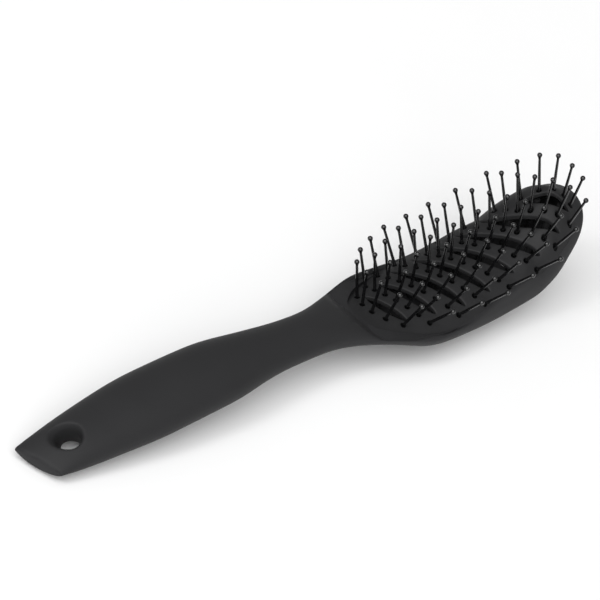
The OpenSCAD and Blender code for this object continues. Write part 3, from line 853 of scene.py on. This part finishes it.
def pin_tree(material):
    """Pins with a boss, a tapered stem, a flare and a ball, one on each root along its own axis."""
    tree = bpy.data.node_groups.new("Ball-tipped pins", "GeometryNodeTree")
    tree.interface.new_socket("Geometry", in_out="INPUT", socket_type="NodeSocketGeometry")
    for name in PIN_SIZES:
        tree.interface.new_socket(name, in_out="INPUT", socket_type="NodeSocketFloat")
    tree.interface.new_socket("Geometry", in_out="OUTPUT", socket_type="NodeSocketGeometry")
    size = add_node(tree, "NodeGroupInput").outputs

    def math_node(operation, a, b):
        return add_node(tree, "ShaderNodeMath", {"operation": operation}, {0: a, 1: b}).outputs[0]

    def frustum(low, high, start, end):
        cone = add_node(tree, "GeometryNodeMeshCone", inputs={
            "Vertices": 20, "Radius Bottom": low, "Radius Top": high,
            "Depth": math_node("SUBTRACT", end, start),
        })
        up = add_node(tree, "ShaderNodeCombineXYZ", inputs={"Z": start})
        return add_node(tree, "GeometryNodeTransform", inputs={
            "Geometry": cone.outputs["Mesh"], "Translation": up.outputs[0],
        }).outputs[0]

    root, stem, boss, ball = (math_node("MULTIPLY", size[name + " diameter"], 0.5)
                              for name in ("Root", "Stem", "Boss", "Ball"))
    neck = math_node("SUBTRACT", size["Length"], size["Flare length"])
    foot = math_node("MULTIPLY", size["Foot depth"], -1.0)
    drop = math_node("MULTIPLY", size["Boss drop"], -1.0)
    sphere = add_node(tree, "GeometryNodeMeshUVSphere", inputs={
        "Segments": 24, "Rings": 14, "Radius": ball,
    })
    top = add_node(tree, "ShaderNodeCombineXYZ", inputs={"Z": size["Length"]})
    head = add_node(tree, "GeometryNodeTransform", inputs={
        "Geometry": sphere.outputs["Mesh"], "Translation": top.outputs[0],
    }).outputs[0]
    pin = add_node(tree, "GeometryNodeJoinGeometry")
    flare_end = math_node("SUBTRACT", size["Length"], math_node("MULTIPLY", ball, 0.45))
    for part in (frustum(boss, boss, foot, drop), frustum(root, stem, drop, neck),
                 frustum(stem, math_node("MULTIPLY", ball, 0.82), neck, flare_end), head):
        tree.links.new(part, pin.inputs[0])
    attribute = "GeometryNodeInputNamedAttribute"
    is_root = add_node(tree, attribute, {"data_type": "BOOLEAN"}, {"Name": "is_root"})
    axis = add_node(tree, attribute, {"data_type": "FLOAT_VECTOR"}, {"Name": "pin_axis"})
    split = add_node(tree, "GeometryNodeSeparateGeometry", {"domain": "POINT"}, {
        "Geometry": size["Geometry"], "Selection": is_root.outputs[0],
    })
    turn = add_node(tree, "FunctionNodeAlignRotationToVector", {"axis": "Z"}, {
        "Vector": axis.outputs[0],
    })
    placed = add_node(tree, "GeometryNodeInstanceOnPoints", inputs={
        "Points": split.outputs["Selection"], "Instance": pin.outputs[0],
        "Rotation": turn.outputs[0],
    })
    both = add_node(tree, "GeometryNodeJoinGeometry")
    tree.links.new(split.outputs["Inverted"], both.inputs[0])
    tree.links.new(placed.outputs[0], both.inputs[0])
    real = add_node(tree, "GeometryNodeRealizeInstances", inputs={0: both.outputs[0]})
    shade = add_node(tree, "GeometryNodeSetShadeSmooth", inputs={0: real.outputs[0]})
    made = add_node(tree, "GeometryNodeSetMaterial", inputs={
        "Geometry": shade.outputs[0], "Material": material,
    })
    add_node(tree, "NodeGroupOutput", inputs={0: made.outputs[0]})
    return tree


def bar(row, pins, plate):
    """The bar behind the vent plate that joins a row of pins."""
    first, last = pin_y(row, -0.2), pin_y(row, ROWS[row][1] - 0.8)
    y = np.linspace(first, last, 25)
    x = row_x(row, y)
    half, thick = pins.bar_width / MM / 2, pins.bar_thickness / MM
    top = plate.thickness / MM + BAR_GAP
    corners = []
    for side, drop in ((-1, top), (1, top), (1, top + thick), (-1, top + thick)):
        px = x + side * half
        slope_y = y / np.sqrt(CROWN_RADIUS ** 2 - y * y)
        stretch = slope_stretch(plate_slope(px, y), slope_y)
        corners.append(np.stack([px, y, plate_top(px, y) - drop * stretch], 1))
    n = len(y)
    faces = [(k * n + i, k * n + i + 1, (k + 1) % 4 * n + i + 1, (k + 1) % 4 * n + i)
             for k in range(4) for i in range(n - 1)]
    faces += [tuple(k * n for k in range(4)), tuple(k * n + n - 1 for k in range(4))[::-1]]
    return np.concatenate(corners), faces


def build_strip(row, pins, plate, tree, material):
    points, faces = bar(row, pins, plate)
    count = ROWS[row][1]
    y = np.array([pin_y(row, j) for j in range(count)])
    x = row_x(row, y)
    roots = np.stack([x, y, plate_top(x, y)], 1)
    mesh = bpy.data.meshes.new("pin_strip")
    mesh.from_pydata(place(np.concatenate([points, roots])).tolist(), [], faces)
    work = bmesh.new()
    work.from_mesh(mesh)
    bmesh.ops.recalc_face_normals(work, faces=work.faces)
    work.to_mesh(mesh)
    work.free()
    mesh.attributes.new("is_root", "BOOLEAN", "POINT")
    mesh.attributes.new("pin_axis", "FLOAT_VECTOR", "POINT")
    for j in range(count):
        a = pin_angle(row, j)
        mesh.attributes["is_root"].data[len(points) + j].value = True
        mesh.attributes["pin_axis"].data[len(points) + j].vector = (
            -math.cos(a) * math.sin(LAY_TILT), math.sin(a), math.cos(a) * math.cos(LAY_TILT))
    piece = bpy.data.objects.new(f"pin_strip_{row + 1}_piece", mesh)
    bpy.context.scene.collection.objects.link(piece)
    modifier = piece.modifiers.new("Pins", "NODES")
    modifier.node_group = tree
    for item in tree.interface.items_tree:
        if item.in_out == "INPUT" and item.name in PIN_SIZES:
            modifier[item.identifier] = getattr(pins, PIN_SIZES[item.name])
    seen = piece.evaluated_get(bpy.context.evaluated_depsgraph_get())
    made = bpy.data.meshes.new_from_object(seen)
    piece.modifiers.clear()
    piece.data = made
    made.set_sharp_from_angle(angle=math.radians(40))
    if not made.materials:
        made.materials.append(material)
    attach(piece, BODY)
    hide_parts(f"pin_strip_{row + 1}")
    return piece


# ---------------------------------------------------------------- settings

def measure(name, description, default):
    return FloatProperty(name=name, description=description, default=default, min=0,
                         unit="LENGTH", precision=5)


def tint(name, description, default):
    return FloatVectorProperty(name=name, description=description, default=linear(default),
                               size=4, min=0, max=1, subtype="COLOR")


class BrushShell(bpy.types.PropertyGroup):
    wall: measure("Wall", "Thickness of the two shells", 0.0014)
    shoulder: measure("Shoulder", "Width of the soft step from shell to vent plate", 0.0032)
    hang_bore: measure("Hang hole", "Diameter of the hang hole", 0.0076)
    hang_mouth: measure("Hang hole mouth", "Diameter of the hang hole's dished mouth", 0.0104)
    mouth_depth: measure("Mouth depth", "Depth of the dished mouth", 0.0026)
    end_edge: measure("End edge", "Radius of the edge round the handle's end", 0.0011)
    mesh_step: measure("Mesh step", "Spacing of the mesh on the shells", 0.0009)
    colour: tint("Colour", "Colour of the soft-touch paint", "#2a2a2b")


class BrushPlate(bpy.types.PropertyGroup):
    thickness: measure("Thickness", "Thickness of the vent plate", 0.0015)
    slot_width: measure("Slot width", "Width of a vent slot at its middle", 0.004)
    back_slot_width: measure("Back slot width", "Width of a back slot at its middle", 0.003)
    slot_edge: measure("Slot edge", "Radius of the rounded edge of the slots", 0.00045)
    socket: measure("Socket", "Diameter of the socket round each pin", 0.002)
    socket_edge: measure("Socket edge", "Radius of the rounded edge of the sockets", 0.00022)
    mesh_step: measure("Mesh step", "Spacing of the mesh on the vent plate", 0.0008)
    colour: tint("Colour", "Colour of the vent plate", "#1f1f20")


class BrushPins(bpy.types.PropertyGroup):
    length: measure("Length", "From the vent plate to the middle of the ball", 0.01394)
    ball: measure("Ball", "Diameter of the ball", 0.0018)
    root: measure("Root", "Diameter of the stem at its root", 0.00115)
    stem: measure("Stem", "Diameter of the stem below the flare", 0.0009)
    flare: measure("Flare", "Length of the flare under the ball", 0.0012)
    boss: measure("Boss", "Diameter of the boss in the socket", 0.0016)
    boss_drop: measure("Boss drop", "Depth of the boss below the plate's face", 0.001)
    foot: measure("Foot", "Depth of the pin's foot below the plate's face", 0.0024)
    bar_width: measure("Bar width", "Width of the bar that joins a row", 0.0024)
    bar_thickness: measure("Bar thickness", "Thickness of that bar", 0.001)
    colour: tint("Colour", "Colour of the pins", "#0a0a0b")


class BrushStage(bpy.types.PropertyGroup):
    floor: tint("Floor", "Colour of the paper under the brush", "#f6f6f6")
    ceiling: FloatProperty(name="Ceiling light", default=3.3,
                           description="Strength of the broad light overhead")
    key: FloatProperty(name="Key softbox", default=2.0, unit="POWER",
                       description="Power of the softbox behind the brush")
    key_size: measure("Key softbox size", "Side of the softbox", 0.22)
    sky: FloatProperty(name="Surroundings", default=0.3,
                       description="Brightness of the white surroundings")
    lens: FloatProperty(name="Lens", description="Focal length", default=180.0, unit="CAMERA")
    place: FloatVectorProperty(name="Camera place", description="Where the camera stands", size=3,
                               default=(-0.67766, -0.42326, 0.55304),
                               subtype="TRANSLATION", unit="LENGTH")
    turn: FloatVectorProperty(name="Camera turn", description="How the camera is turned", size=3,
                              default=tuple(math.radians(a) for a in (54.692, -16.9933, -45.6829)),
                              subtype="EULER")


# ---------------------------------------------------------------- operators

class BRUSH_OT_handle_end(bpy.types.Operator):
    """Build the solid handle end with its hang hole"""
    bl_idname = "brush.handle_end"
    bl_label = "Handle end"

    def execute(self, context):
        build_handle_end(context.scene.brush_shell)
        return {"FINISHED"}


class BRUSH_OT_front_shell(bpy.types.Operator):
    """Build the front shell, with the window for the vent plate"""
    bl_idname = "brush.front_shell"
    bl_label = "Front shell"

    def execute(self, context):
        build_front_shell(context.scene.brush_shell)
        return {"FINISHED"}


class BRUSH_OT_back_shell(bpy.types.Operator):
    """Build the back shell, with its slots and posts"""
    bl_idname = "brush.back_shell"
    bl_label = "Back shell"

    def execute(self, context):
        build_back_shell(context.scene.brush_shell, context.scene.brush_plate)
        return {"FINISHED"}


class BRUSH_OT_vent_plate(bpy.types.Operator):
    """Build the crowned plate with its slots and sockets"""
    bl_idname = "brush.vent_plate"
    bl_label = "Vent plate"

    def execute(self, context):
        build_plate(context.scene.brush_plate)
        return {"FINISHED"}


class BRUSH_OT_pin_strips(bpy.types.Operator):
    """Build the nine strips of ball-tipped pins"""
    bl_idname = "brush.pin_strips"
    bl_label = "Pin strips"

    def execute(self, context):
        pins, plate = context.scene.brush_pins, context.scene.brush_plate
        material = finish("Nylon 66, polished mould", polished_nylon, pins.colour)
        tree = pin_tree(material)
        for row in range(len(ROWS)):
            build_strip(row, pins, plate, tree, material)
        return {"FINISHED"}


class BRUSH_OT_stage(bpy.types.Operator):
    """Add the paper floor, the lights and the camera"""
    bl_idname = "brush.stage"
    bl_label = "Stage"

    def execute(self, context):
        stage, scene = context.scene.brush_stage, context.scene
        mesh = bpy.data.meshes.new("paper_floor")
        half = 6.0
        corners = [(x * half, y * half, 0) for x, y in ((-1, -1), (1, -1), (1, 1), (-1, 1))]
        mesh.from_pydata(corners, [], [(0, 1, 2, 3)])
        mesh.materials.append(finish("Background paper, matte", studio_paper, stage.floor))
        floor = bpy.data.objects.new("paper_floor", mesh)
        scene.collection.objects.link(floor)
        world = bpy.data.worlds.new("White surroundings")
        world.use_nodes = True
        world.node_tree.nodes["Background"].inputs[0].default_value = (1, 1, 1, 1)
        world.node_tree.nodes["Background"].inputs[1].default_value = stage.sky
        scene.world = world
        low, high = (Vector(c) for c in CAD_BOX)
        middle = (low + high) / 2
        ceiling = bpy.data.lights.new("Ceiling light", "SUN")
        ceiling.energy, ceiling.angle = stage.ceiling, math.radians(80)
        key = bpy.data.lights.new("Key softbox", "AREA")
        key.energy, key.size = stage.key, stage.key_size
        for light, offset in ((ceiling, (-0.9, -0.5, 1.0)), (key, (-0.9, 0.1, 0.8))):
            lamp = bpy.data.objects.new(light.name, light)
            lamp.location = middle + Vector(offset)
            lamp.rotation_euler = (middle - lamp.location).to_track_quat("-Z", "Y").to_euler()
            scene.collection.objects.link(lamp)
        camera = bpy.data.objects.new("Camera", bpy.data.cameras.new("Camera"))
        camera.data.lens, camera.data.sensor_width = stage.lens, 36
        camera.location, camera.rotation_euler = stage.place, stage.turn
        scene.collection.objects.link(camera)
        scene.camera = camera
        scene.view_settings.view_transform = "Standard"
        return {"FINISHED"}


PIECES = (BRUSH_OT_handle_end, BRUSH_OT_front_shell, BRUSH_OT_back_shell, BRUSH_OT_vent_plate,
          BRUSH_OT_pin_strips, BRUSH_OT_stage)
SETTINGS = {"brush_shell": BrushShell, "brush_plate": BrushPlate, "brush_pins": BrushPins,
            "brush_stage": BrushStage}


class VIEW3D_PT_brush(bpy.types.Panel):
    """Sizes, colours and buttons of the brush"""
    bl_label = "Vent brush"
    bl_space_type = "VIEW_3D"
    bl_region_type = "UI"
    bl_category = "Brush"

    def draw(self, context):
        for name, group in SETTINGS.items():
            box = self.layout.box()
            for key in group.__annotations__:
                box.prop(getattr(context.scene, name), key)
        for piece in PIECES:
            self.layout.operator(piece.bl_idname)


def register():
    for kind in (*SETTINGS.values(), *PIECES, VIEW3D_PT_brush):
        bpy.utils.register_class(kind)
    for name, group in SETTINGS.items():
        setattr(bpy.types.Scene, name, PointerProperty(type=group))


def unregister():
    for name in SETTINGS:
        delattr(bpy.types.Scene, name)
    for kind in (VIEW3D_PT_brush, *PIECES[::-1], *list(SETTINGS.values())[::-1]):
        bpy.utils.unregister_class(kind)


def main():
    register()
    for piece in PIECES:
        group, name = piece.bl_idname.split(".")
        getattr(getattr(bpy.ops, group), name)()


if __name__ == "__main__":
    main()
